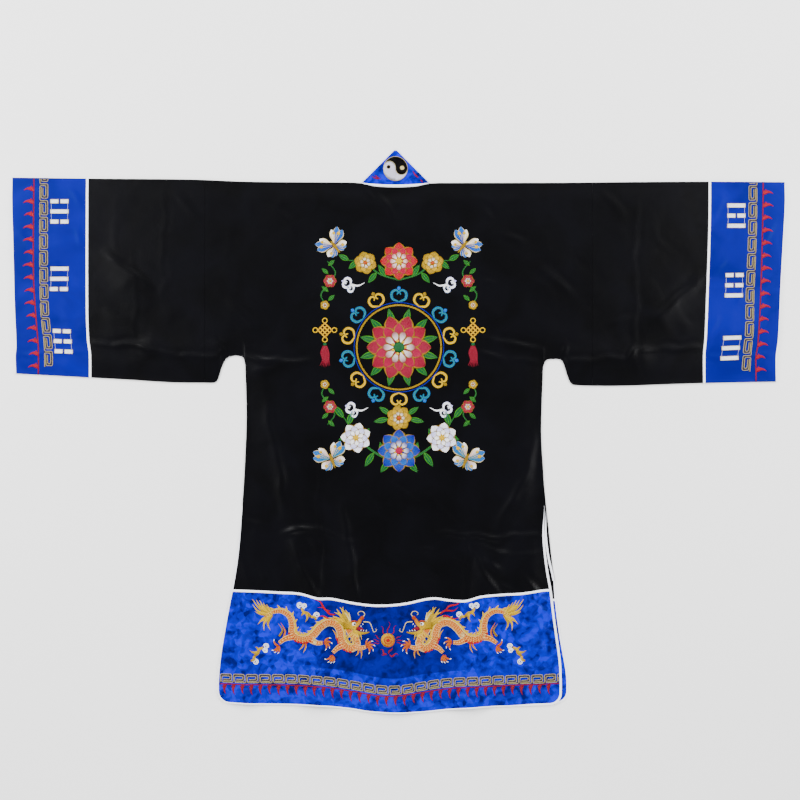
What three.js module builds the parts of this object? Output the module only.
// A ceremonial robe of black satin with wide straight sleeves, laid flat with its back up.
//
// The robe is cut flat: sleeves and body have no shoulder seam, so its upper edge is a fold. Its front
// lies on the surface and its back lies on the front, a seam's gap above it at the edges and a little
// further off inside them. Sleeve ends and hem are banded with blue satin, a blue collar band runs down
// both fronts and folds into a point behind the neck, and white piping is sewn into the seams.
//
// Millimetres, +Z up. X runs from cuff to cuff and Y from the hem to the collar's point. The origin is
// the middle of the robe, on the surface that it lies on. Left is the side of negative X.
import * as THREE from "three";

// Driving sizes
const CLOTH = 1.2; // thickness of one layer of cloth
const SEAM_GAP = 0.3; // gap between pieces that are sewn together
const HALF_SPAN = 900; // from the middle to the end of a sleeve
const BODY_HALF = 450; // half a width of body cloth, where each sleeve is sewn on
const SLIT_TOP = -172; // height of the top of both side slits
const PIPING = 7; // width of the white piping in the seams
const EDGING = 2.6; // width that shows of the piping rolled under at hem and cuffs
const PIPING_RISE = 0.9; // how far piping stands above the cloth beside it
const CORNER = 28; // radius of the rounded corners of the hem
const COLLAR_BAND = 79; // width of the collar band
const COLLAR_TIP = 1.2; // half the width of the flat tip of the collar's point
const COLLAR_BASE = 574.5; // height of the lower edge of the collar behind the neck
const NECK_HALF = 82; // half the width of the neck
const NECK_X = -6; // the neck's middle, and the collar's
const PUFF = 2; // how far the back stands off inside its edges
const PUFF_EASE = 45; // distance from an edge over which it does so
const EMBLEM_RADIUS = 27.5;
const EMBLEM_CENTRE = { x: -6.5, y: 610.5 };
const EMBLEM_THICK = 1;

// Each row of numbers becomes an object with the named columns.
function table(columns, ...rows) {
  const names = columns.split(" ");
  return rows.map((row) => Object.fromEntries(row.map((value, i) => [names[i], value])));
}

// The column "of" as a smooth function of the column "by", through every row, level past the ends.
function curve(rows, by, of) {
  const slope = (i) => {
    const a = rows[Math.max(i - 1, 0)];
    const b = rows[Math.min(i + 1, rows.length - 1)];
    return (b[of] - a[of]) / (b[by] - a[by]);
  };
  return (at) => {
    if (at <= rows[0][by]) return rows[0][of];
    if (at >= rows[rows.length - 1][by]) return rows[rows.length - 1][of];
    const i = rows.findIndex((row) => row[by] > at) - 1;
    const step = rows[i + 1][by] - rows[i][by];
    const t = (at - rows[i][by]) / step;
    const eased = t * t * (3 - 2 * t);
    return (
      rows[i][of] * (1 - eased) +
      rows[i + 1][of] * eased +
      step * (slope(i) * t * (1 - t) ** 2 - slope(i + 1) * t * t * (1 - t))
    );
  };
}

// Outlines. The cloth has shifted a little on its surface, so left and right differ by a few millimetres.
const shoulder = curve(
  table("x y", [-HALF_SPAN, 590.5], [-700, 588], [-480, 586], [-350, 581], [NECK_X - 100, 579],
    [NECK_X - NECK_HALF, 572.6], [NECK_X + NECK_HALF, 572.6], [NECK_X + 100, 578], [380, 578.5], [520, 580],
    [700, 581], [HALF_SPAN, 580]),
  "x", "y",
);
const neckCurve = curve(
  table("x y", [-NECK_HALF, 572.6], [-45, 568], [0, 565.5], [45, 568], [NECK_HALF, 572.6]),
  "x", "y",
);
const neckline = (x) => neckCurve(x - NECK_X);
const atNeck = (x) => Math.abs(x - NECK_X) < NECK_HALF - 0.01;
// The lower edge of the sleeves, with the notch between each sleeve and the body.
const LEFT_UNDERARM = table("x y",
  [-HALF_SPAN, 136], [-715, 126], [-625, 121], [-530, 115], [-BODY_HALF, 114], [-430, 114], [-423, 117],
  [-418, 126], [-412, 146], [-406, 161], [-400, 170], [-392, 175], [-380, 177], [-368, 176], [-360, 171],
  [-356, 155]);
const RIGHT_UNDERARM = table("x y",
  [336, 150], [340, 162], [347, 168], [362, 169], [376, 168], [383, 160], [390, 138], [396, 121],
  [402, 112], [410, 108.5], [BODY_HALF, 107], [520, 107], [610, 110], [701, 113], [HALF_SPAN, 117]);
const leftUnderarm = curve(LEFT_UNDERARM, "x", "y");
const rightUnderarm = curve(RIGHT_UNDERARM, "x", "y");
const LEFT_ARMPIT = LEFT_UNDERARM[LEFT_UNDERARM.length - 1];
const RIGHT_ARMPIT = RIGHT_UNDERARM[0];
// The sides of the skirt, from the hem up to the armpits.
const backLeft = curve(
  table("y x", [-610, -420], [-578, -420], [-522, -415], [-466, -406], [-411, -396], [-355, -385],
    [-299, -376], [-243, -369], [-160, -362], [-76, -357], [35, -353], [155, LEFT_ARMPIT.x]),
  "y", "x",
);
const backRight = curve(
  table("y x", [-610, 379.5], [-578, 379.5], [-531, 377], [-476, 369.5], [-422, 362], [-367, 355.5],
    [-331, 349], [-295, 344], [-258, 340.5], [-222, 339], [SLIT_TOP, 339], [-104, 337],
    [-20, 332], [35, 332], [150, RIGHT_ARMPIT.x]),
  "y", "x",
);
const frontRight = curve(
  table("y x", [-610, 394], [-578, 394], [-549, 391], [-476, 378], [-392, 367], [-349, 364], [-324, 359.5],
    [-273, 353.5], [-222, 348.5], [-172, 343], [-104, 337], [-20, 332], [35, 332], [150, RIGHT_ARMPIT.x]),
  "y", "x",
);
const FRONT_TUCK = 5; // how far the front's left side is hidden behind the back's
const frontLeft = (y) => backLeft(y) + FRONT_TUCK * ease((SLIT_TOP - y) / 120);
// Where the front's right slit edge, turned up beside the back's, unrolls to the robe's outline.
const TURN_END = -346;
const turnedEdge = curve(
  table("y x", [TURN_END, 363], [-331, 360], [-295, 351.5], [-258, 346], [-222, 343.5], [SLIT_TOP, 343]),
  "y", "x",
);
// Seams and hem across the skirt.
const backBandSeam = curve(
  table("x y", [-420, -368], [-330, -371], [-274, -374], [-228, -376.5], [-186, -387], [-158, -388],
    [-111, -397], [-65, -403.5], [-18, -403.5], [20, -399], [63, -389.5], [86, -387.5], [120, -392],
    [156, -393], [190, -383], [237, -379], [283, -376.5], [335, -369], [380, -368]),
  "x", "y",
);
const backBorderSeam = curve(
  table("x y", [-420, -544], [-186, -547], [-111, -558], [-50, -570], [0, -573], [45, -565],
    [120, -556], [210, -549], [300, -546], [380, -544]),
  "x", "y",
);
const backHem = curve(
  table("x y", [-420, -630], [-330, -633.5], [-186, -637], [-111, -645], [-65, -652], [0, -654.5],
    [63, -652], [120, -646], [190, -641], [283, -638], [380, -635]),
  "x", "y",
);
const FRONT_BAND_SEAM = -391;
const FRONT_BORDER_SEAM = -546;
const FRONT_HEM = -631;
// Seam between sleeve and band, and the band's end, at each height.
const leftCuffSeam = curve(
  table("y x", [115, -716.5], [180, -716.5], [215, -721], [300, -723.5], [590, -723]), "y", "x");
const rightCuffSeam = curve(
  table("y x", [110, 710.5], [180, 710], [215, 713], [300, 716.5], [460, 722], [582, 723.5]), "y", "x");
const leftCuffEnd = curve(
  table("y x", [130, -891], [175, -892], [200, -890], [300, -894], [445, -897.5], [530, -HALF_SPAN],
    [590, -HALF_SPAN]), "y", "x");
const rightCuffEnd = curve(
  table("y x", [110, 880], [175, 879], [215, 884], [350, 890.5], [445, 895.5], [530, HALF_SPAN],
    [582, HALF_SPAN]), "y", "x");

// The large folds of the back, as ridges along the points of a line: height and half width at each.
const FOLDS = table("fold x y high wide",
  ["left of the skirt", -310, 70, 0, 24], ["left of the skirt", -272, -110, 4, 26],
  ["left of the skirt", -230, -240, 6, 30], ["left of the skirt", -196, -390, 9, 34],
  ["left of the skirt", -188, -640, 9, 38],
  ["inside the left fold", -133, -130, 0, 24], ["inside the left fold", -112, -300, 5, 26],
  ["inside the left fold", -92, -560, 0, 26],
  ["right of the skirt", 322, 20, 0, 22], ["right of the skirt", 285, -140, 4, 24],
  ["right of the skirt", 232, -250, 6, 30], ["right of the skirt", 190, -390, 9, 34],
  ["right of the skirt", 168, -642, 9, 38],
  ["right edge of the skirt", 318, -250, 0, 24], ["right edge of the skirt", 308, -400, 5, 26],
  ["right edge of the skirt", 320, -600, 3, 26],
  ["left hem", -345, -400, 2, 26], ["left hem", -352, -632, 6, 28],
  ["middle of the hem", -30, -500, 0, 34], ["middle of the hem", -8, -654, 6, 42],
  ["left waist", -340, 160, 3, 24], ["left waist", -180, 150, 0, 24],
  ["left sleeve", -690, 430, 0, 28], ["left sleeve", -630, 350, 3, 30], ["left sleeve", -570, 290, 0, 28],
  ["right sleeve", 690, 330, 0, 28], ["right sleeve", 610, 265, 4, 32], ["right sleeve", 540, 215, 0, 28],
  ["left elbow", -576, 200, 4, 26], ["left elbow", -440, 178, 2, 24],
  ["right elbow", 420, 172, 2, 24], ["right elbow", 560, 180, 4, 26],
);
const FOLD_LINES = Object.values(Object.groupBy(FOLDS, (row) => row.fold));

// From 0 to 1 as share goes from 0 to 1, without a corner at either end.
function ease(share) {
  const t = Math.min(Math.max(share, 0), 1);
  return t * t * (3 - 2 * t);
}

// How high one ridge stands at a point: it falls off with the distance from its line.
function ridge(line, x, y) {
  let high = 0;
  line.slice(1).forEach((b, i) => {
    const a = line[i];
    const [dx, dy] = [b.x - a.x, b.y - a.y];
    const t = Math.min(Math.max(((x - a.x) * dx + (y - a.y) * dy) / (dx * dx + dy * dy), 0), 1);
    const off = Math.hypot(x - a.x - t * dx, y - a.y - t * dy) / (a.wide + t * (b.wide - a.wide));
    high = Math.max(high, (a.high + t * (b.high - a.high)) * Math.exp(-off * off));
  });
  return high;
}

// How far a point of the back is inside the edges that hold it down: shoulder fold, neck, sleeves and sides.
function insideEdges(x, y) {
  const fromTop = (atNeck(x) ? neckline(x) : shoulder(x)) - y;
  const armpit = x < 0 ? LEFT_ARMPIT : RIGHT_ARMPIT;
  if (Math.abs(x) > Math.abs(armpit.x) && y > armpit.y - 60) {
    return Math.max(Math.min(fromTop, y - (x < 0 ? leftUnderarm(x) : rightUnderarm(x))), 0);
  }
  const fromSide = Math.max(x < 0 ? x - backLeft(y) : backRight(y) - x, 0);
  return Math.max(Math.min(fromTop, y > armpit.y ? Math.hypot(fromSide, y - armpit.y) : fromSide), 0);
}

// Height of the underside of the back: a gap above the front, plus the puff and the folds.
const BACK_REST = CLOTH + SEAM_GAP;
function backUnder(x, y) {
  const held = insideEdges(x, y);
  const puff = PUFF * ease(Math.min(held, Math.max(y - backHem(x), 0)) / PUFF_EASE);
  const folds = FOLD_LINES.reduce((sum, line) => sum + ridge(line, x, y), 0);
  return BACK_REST + puff + folds * ease(0.12 + (0.88 * held) / PUFF_EASE);
}

const evenly = (count, from = 0, to = 1) =>
  Array.from({ length: count + 1 }, (_, i) => from + ((to - from) * i) / count);

// One line x(y) for each share of the way from the left line to the right one.
const between = (left, right, shares) => shares.map((u) => (y) => left(y) + u * (right(y) - left(y)));

// A grid of plan points: a column on each line, and rows at shares of the way from bottom(x) to top(x).
function patch({ lines, bottom, top, rows }) {
  return rows.map((v) =>
    lines.map((line) => {
      let x = line(0);
      let y = 0;
      for (let pass = 0; pass < 8; pass++) {
        y = bottom(x) + v * (top(x) - bottom(x));
        x = line(y);
      }
      return [x, y];
    }),
  );
}

// A grid of plan points between two rows of the same number of points.
const strip = (a, b, across) =>
  evenly(across).map((t) => a.map(([x, y], i) => [x + t * (b[i][0] - x), y + t * (b[i][1] - y)]));

// Gives each plan point of some grids its inner and outer point, a cloth's thickness apart.
function lay(grids, under, rise = () => 0) {
  return grids.map((grid) =>
    grid.map((row, j) =>
      row.map(([x, y], i) => {
        const low = under(x, y);
        return {
          inner: new THREE.Vector3(x, y, low),
          outer: new THREE.Vector3(x, y, low + CLOTH + rise(i, j)),
        };
      }),
    ),
  );
}
const onBack = (grids, rise) => lay(grids, backUnder, rise);
const onFront = (grids) => lay(grids, () => 0);

// Piping is a little higher along its middle, the second of three lines of points.
const crown = (k) => (k === 1 ? PIPING_RISE : 0.4 * PIPING_RISE);
const crownAcrossRows = (i, j) => crown(j);
const crownAcrossColumns = (i) => crown(i);

// A closed wall from grids of outer and inner points that share the points along their common edges.
function wall(grids) {
  const corners = new Map();
  const outer = [];
  const inner = [];
  const indexOf = (corner) => {
    const key = corner.outer.toArray().map((value) => value.toFixed(3)).join(" ");
    if (!corners.has(key)) {
      corners.set(key, outer.length);
      outer.push(corner.outer);
      inner.push(corner.inner);
    }
    return corners.get(key);
  };
  const quads = grids.flatMap((grid) =>
    grid.slice(1).flatMap((row, j) =>
      row.slice(1).map((_, i) => [grid[j][i], grid[j][i + 1], row[i + 1], row[i]].map(indexOf)),
    ),
  );
  // A quad is turned over if it faces the inner points.
  const faces = quads.map((quad) => {
    const [a, b, c, d] = quad.map((k) => outer[k]);
    const normal = c.clone().sub(a).cross(d.clone().sub(b));
    const out = outer[quad[0]].clone().sub(inner[quad[0]]);
    return normal.dot(out) < 0 ? [...quad].reverse() : quad;
  });
  const rim = new Map();
  faces.forEach((quad) =>
    quad.forEach((a, i) => {
      const b = quad[(i + 1) % 4];
      if (!rim.delete(`${b} ${a}`)) rim.set(`${a} ${b}`, [a, b]);
    }),
  );
  const within = (k) => k + outer.length;
  const index = [];
  const addQuad = (a, b, c, d) => index.push(a, b, c, a, c, d);
  faces.forEach(([a, b, c, d]) => {
    addQuad(a, b, c, d);
    addQuad(within(d), within(c), within(b), within(a));
  });
  rim.forEach(([a, b]) => addQuad(b, a, within(a), within(b)));
  const geometry = new THREE.BufferGeometry();
  const points = [...outer, ...inner].flatMap((point) => point.toArray());
  geometry.setAttribute("position", new THREE.Float32BufferAttribute(points, 3));
  geometry.setIndex(index);
  geometry.computeVertexNormals();
  return geometry;
}

// Materials
const cloth = (color, roughness) => new THREE.MeshStandardMaterial({ color, roughness, metalness: 0 });
const BLACK = cloth(0x0d0d10, 0.42);
const BLUE = cloth(0x1533c4, 0.4);
const WHITE = cloth(0xf2f3fa, 0.55);
const EMBROIDERY = cloth(0xe8e6ea, 0.6);

const robe = new THREE.Group();
function add(name, material, geometry) {
  const piece = new THREE.Mesh(geometry, material);
  piece.name = name;
  robe.add(piece);
}
const sew = (name, material, grids) => add(name, material, wall(grids));

const shifted = (edge, by) => (at) => edge(at) + by;
const level = (height) => () => height;

// The back's cloth inside its edging. The edging shows more at the right slit than elsewhere.
const clothLeft = shifted(backLeft, EDGING + SEAM_GAP);
const clothRight = shifted(backRight, -PIPING - SEAM_GAP);
const hemEdging = (x) => EDGING + (PIPING - EDGING) * ease((x - 250) / 80);
const clothHem = (x) => backHem(x) + hemEdging(x) + SEAM_GAP;

// How far a quarter circle lifts the hem near the side of the skirt.
function cornerLift(fromSide, radius) {
  const across = Math.min(Math.max(radius - fromSide, 0), radius);
  return radius - Math.sqrt(radius ** 2 - across ** 2);
}
const LEFT_RADIUS = CORNER - EDGING - SEAM_GAP;
const RIGHT_RADIUS = CORNER - PIPING - SEAM_GAP;
const clothBottom = (x) =>
  clothHem(x) +
  cornerLift(x - clothLeft(-600), LEFT_RADIUS) +
  cornerLift(clothRight(-600) - x, RIGHT_RADIUS);

// Shares of the way across the back: close together at the hem's corners, and one at each corner of the neck.
const CORNER_SHARES = [0.004, 0.011, 0.02, 0.031];
function neckShare(x) {
  const [from, to] = [clothLeft, clothRight].map((edge) => edge(LEFT_ARMPIT.y));
  return (x - from) / (to - from);
}
const INNER_SHARES = [
  ...evenly(9, 0.044, neckShare(NECK_X - NECK_HALF)),
  ...evenly(6, neckShare(NECK_X - NECK_HALF), neckShare(NECK_X + NECK_HALF)).slice(1),
  ...evenly(8, neckShare(NECK_X + NECK_HALF), 0.956).slice(1),
];
const SHARES = [0, ...CORNER_SHARES, ...INNER_SHARES, ...CORNER_SHARES.map((u) => 1 - u).reverse(), 1];
const clothLines = between(clothLeft, clothRight, SHARES);
const fullLines = [backLeft, ...clothLines, backRight];

// The body: below the slits' top it is narrower by the edging, above it the sides are sewn or folded.
const armpitLevel = (x) => {
  const across = (x - LEFT_ARMPIT.x) / (RIGHT_ARMPIT.x - LEFT_ARMPIT.x);
  return LEFT_ARMPIT.y + across * (RIGHT_ARMPIT.y - LEFT_ARMPIT.y);
};
const backTop = (x) => (atNeck(x) ? neckline(x) : shoulder(x));
const CHEST_ROWS = evenly(8);
const tab = (underarm) => ({
  lines: underarm.filter(({ x }) => Math.abs(x) <= BODY_HALF).map(({ x }) => () => x),
  bottom: underarm === LEFT_UNDERARM ? leftUnderarm : rightUnderarm,
  top: shoulder,
});
sew("back_body", BLACK, onBack([
  patch({
    lines: clothLines, bottom: shifted(backBandSeam, PIPING / 2 + SEAM_GAP), top: level(SLIT_TOP),
    rows: evenly(5),
  }),
  patch({ lines: fullLines, bottom: level(SLIT_TOP), top: armpitLevel, rows: evenly(7) }),
  patch({ lines: fullLines, bottom: armpitLevel, top: backTop, rows: CHEST_ROWS }),
  patch({ ...tab(LEFT_UNDERARM), rows: CHEST_ROWS }),
  patch({ ...tab(RIGHT_UNDERARM), rows: CHEST_ROWS }),
]));

// The hem of the back: piping in the seam, a wide panel, and a border strip down to the edging.
sew("piping_hem_back", WHITE, onBack([patch({
  lines: clothLines, bottom: shifted(backBandSeam, -PIPING / 2), top: shifted(backBandSeam, PIPING / 2),
  rows: evenly(2),
})], crownAcrossRows));
sew("hem_panel_back", BLUE, onBack([patch({
  lines: clothLines, bottom: shifted(backBorderSeam, SEAM_GAP / 2),
  top: shifted(backBandSeam, -PIPING / 2 - SEAM_GAP), rows: evenly(4),
})]));
sew("hem_border_back", BLUE, onBack([patch({
  lines: clothLines, bottom: clothBottom, top: shifted(backBorderSeam, -SEAM_GAP / 2), rows: evenly(3),
})]));

// A line down one side of a skirt, round its corner and along the hem. sign is 1 on the right.
function aroundCorner({ side, sign, from, hem, radius, along }) {
  const down = evenly(16, from, hem(side(-600)) + radius).map((y) => [side(y), y]);
  const corner = evenly(6, 0, Math.PI / 2).slice(1).map((turn) => {
    const x = side(-600) - sign * radius * (1 - Math.cos(turn));
    return [x, hem(x) + radius * (1 - Math.sin(turn))];
  });
  return [...down, ...corner, ...along.map((x) => [x, hem(x)])];
}
const hemStations = INNER_SHARES.map((u) => clothLeft(-600) + u * (clothRight(-600) - clothLeft(-600)));
const MIDDLE = Math.floor(hemStations.length / 2);
const backEdge = (left, right, hem, leftRadius, rightRadius) => [
  ...aroundCorner({
    side: left, sign: -1, from: SLIT_TOP - SEAM_GAP, hem, radius: leftRadius,
    along: hemStations.slice(0, MIDDLE),
  }),
  ...aroundCorner({
    side: right, sign: 1, from: SLIT_TOP - SEAM_GAP, hem, radius: rightRadius,
    along: hemStations.slice(MIDDLE).reverse(),
  }).reverse(),
];
sew("piping_edge_back", WHITE, onBack([strip(
  backEdge(backLeft, backRight, backHem, CORNER, CORNER),
  backEdge(shifted(backLeft, EDGING), shifted(backRight, -PIPING), (x) => backHem(x) + hemEdging(x),
    CORNER - EDGING, CORNER - PIPING),
  2,
)], crownAcrossRows));

// The fronts: a panel each side of the collar band, with a plain hem like the back's.
const COLLAR_EDGE = COLLAR_TIP + COLLAR_BAND;
const FRONT_INNER = COLLAR_EDGE + PIPING + 2 * SEAM_GAP;
const FRONT_EDGING = 5;
const FRONT_RADIUS = CORNER - FRONT_EDGING - SEAM_GAP;
const FRONT_SHARES = [0, 0.012, 0.03, 0.055, 0.09, 0.4, 1];
const FRONT_SIDES = [
  { name: "left", sign: -1, edge: frontLeft, slit: SLIT_TOP, armpit: LEFT_ARMPIT, underarm: LEFT_UNDERARM },
  { name: "right", sign: 1, edge: frontRight, slit: TURN_END, armpit: RIGHT_ARMPIT, underarm: RIGHT_UNDERARM },
];
for (const { name, sign, edge, slit, armpit, underarm } of FRONT_SIDES) {
  const clothEdge = shifted(edge, -sign * (FRONT_EDGING + SEAM_GAP));
  const inner = level(NECK_X + sign * FRONT_INNER);
  const lines = between(clothEdge, inner, FRONT_SHARES);
  const widest = [edge, ...lines];
  const clothFoot = (x) =>
    FRONT_HEM + FRONT_EDGING + SEAM_GAP + cornerLift(sign * (clothEdge(-600) - x), FRONT_RADIUS);
  sew(`front_body_${name}`, BLACK, onFront([
    patch({
      lines, bottom: level(FRONT_BAND_SEAM + PIPING / 2 + SEAM_GAP), top: level(slit),
      rows: evenly(sign < 0 ? 8 : 2),
    }),
    patch({ lines: widest, bottom: level(slit), top: level(armpit.y), rows: evenly(sign < 0 ? 4 : 8) }),
    patch({ lines: widest, bottom: level(armpit.y), top: shoulder, rows: evenly(2) }),
    patch({ ...tab(underarm), rows: evenly(2) }),
  ]));
  sew(`piping_hem_front_${name}`, WHITE, onFront([patch({
    lines, bottom: level(FRONT_BAND_SEAM - PIPING / 2), top: level(FRONT_BAND_SEAM + PIPING / 2),
    rows: evenly(1),
  })]));
  sew(`hem_panel_front_${name}`, BLUE, onFront([patch({
    lines, bottom: level(FRONT_BORDER_SEAM + SEAM_GAP / 2), top: level(FRONT_BAND_SEAM - PIPING / 2 - SEAM_GAP),
    rows: evenly(4),
  })]));
  sew(`hem_border_front_${name}`, BLUE, onFront([patch({
    lines, bottom: clothFoot, top: level(FRONT_BORDER_SEAM - SEAM_GAP / 2), rows: evenly(2),
  })]));
  const around = (inset) => aroundCorner({
    side: shifted(edge, -sign * inset), sign, from: slit - SEAM_GAP, hem: level(FRONT_HEM + inset),
    radius: CORNER - inset, along: [0.2, 0.6, 1].map((u) => NECK_X + sign * (340 + u * (COLLAR_TIP - 340))),
  });
  sew(`piping_edge_front_${name}`, WHITE, onFront([strip(around(0), around(FRONT_EDGING), 1)]));
  sew(`piping_collar_front_${name}`, WHITE, onFront([patch({
    lines: [COLLAR_EDGE + SEAM_GAP, FRONT_INNER - SEAM_GAP].map((off) => level(NECK_X + sign * off)),
    bottom: level(FRONT_HEM + FRONT_EDGING + SEAM_GAP), top: shoulder, rows: evenly(6),
  })]));
}
// The front's right slit edge, turned up beside the back's, lies on the front.
sew("piping_slit_front_right", WHITE, lay([patch({
  lines: between((y) => Math.max(turnedEdge(y) - 5.5, backRight(y) + SEAM_GAP), turnedEdge, evenly(2)),
  bottom: level(TURN_END), top: level(SLIT_TOP - 4), rows: evenly(7),
})], level(BACK_REST), crownAcrossColumns));

// Sleeves and their bands, each a back half on a front half, with piping between them and at the end.
for (const side of [
  { name: "left", sign: -1, underarm: leftUnderarm, seam: leftCuffSeam, end: leftCuffEnd },
  { name: "right", sign: 1, underarm: rightUnderarm, seam: rightCuffSeam, end: rightCuffEnd },
]) {
  const out = (edge, by) => shifted(edge, side.sign * by);
  const pieces = [
    { name: "sleeve", material: BLACK, columns: 8, from: level(side.sign * (BODY_HALF + SEAM_GAP)),
      to: out(side.seam, -PIPING / 2 - SEAM_GAP) },
    { name: "piping_cuff", material: WHITE, columns: 2, from: out(side.seam, -PIPING / 2),
      to: out(side.seam, PIPING / 2) },
    { name: "cuff_band", material: BLUE, columns: 5, from: out(side.seam, PIPING / 2 + SEAM_GAP),
      to: out(side.end, -EDGING - SEAM_GAP) },
    { name: "piping_cuff_end", material: WHITE, columns: 2, from: out(side.end, -EDGING), to: side.end },
  ];
  for (const piece of pieces) {
    const shape = { bottom: side.underarm, top: shoulder, rows: CHEST_ROWS };
    const backLines = between(piece.from, piece.to, evenly(piece.columns));
    const frontLines = between(piece.from, piece.to, [0, 1]);
    const rise = piece.material === WHITE ? crownAcrossColumns : undefined;
    const name = `${piece.name}_${side.name}`;
    sew(`${name}_back`, piece.material, onBack([patch({ lines: backLines, ...shape })], rise));
    sew(`${name}_front`, piece.material, onFront([patch({ lines: frontLines, ...shape })]));
  }
}

// The collar is one band. It runs up the left front, folds over at 45 degrees, crosses behind the neck, folds
// again and runs down the right front. Each thread of it is a line of points, here from one hem to the other.
const FOLD_MIDDLE = CLOTH + SEAM_GAP / 2;
function thread(across) {
  const x = COLLAR_EDGE - across;
  const y = COLLAR_BASE + across;
  const foot = (sign) => ({
    outer: new THREE.Vector3(NECK_X + sign * x, FRONT_HEM + FRONT_EDGING + SEAM_GAP, 0),
    inner: new THREE.Vector3(NECK_X + sign * x, FRONT_HEM + FRONT_EDGING + SEAM_GAP, CLOTH),
  });
  const fold = (sign) => evenly(4, -Math.PI / 2, Math.PI / 2).map((turn) => {
    const at = (radius) => {
      const out = (radius * Math.cos(turn)) / Math.SQRT2;
      return new THREE.Vector3(NECK_X + sign * (x + out), y + out, FOLD_MIDDLE + radius * Math.sin(turn));
    };
    return { outer: at(CLOTH + SEAM_GAP / 2), inner: at(SEAM_GAP / 2) };
  });
  const top = [-0.5, 0, 0.5].map((share) => ({
    outer: new THREE.Vector3(NECK_X + share * x, y, 2 * CLOTH + SEAM_GAP),
    inner: new THREE.Vector3(NECK_X + share * x, y, CLOTH + SEAM_GAP),
  }));
  return [foot(-1), ...fold(-1), ...top, ...fold(1).reverse(), foot(1)];
}
sew("collar", BLUE, [evenly(4, 0, COLLAR_BAND).map(thread)]);
sew("piping_collar_back", WHITE, onBack([patch({
  lines: between(level(NECK_X - COLLAR_EDGE), level(NECK_X + COLLAR_EDGE), evenly(6)),
  bottom: shifted(neckline, SEAM_GAP), top: level(COLLAR_BASE - SEAM_GAP), rows: evenly(2),
})], crownAcrossRows));

// The round emblem is padded and sewn onto the collar's point.
const disc = new THREE.CylinderGeometry(EMBLEM_RADIUS - 0.8, EMBLEM_RADIUS, EMBLEM_THICK, 48);
disc.rotateX(Math.PI / 2);
disc.translate(EMBLEM_CENTRE.x, EMBLEM_CENTRE.y, 2 * (CLOTH + SEAM_GAP) + EMBLEM_THICK / 2);
add("collar_emblem", EMBROIDERY, disc);

export default robe;
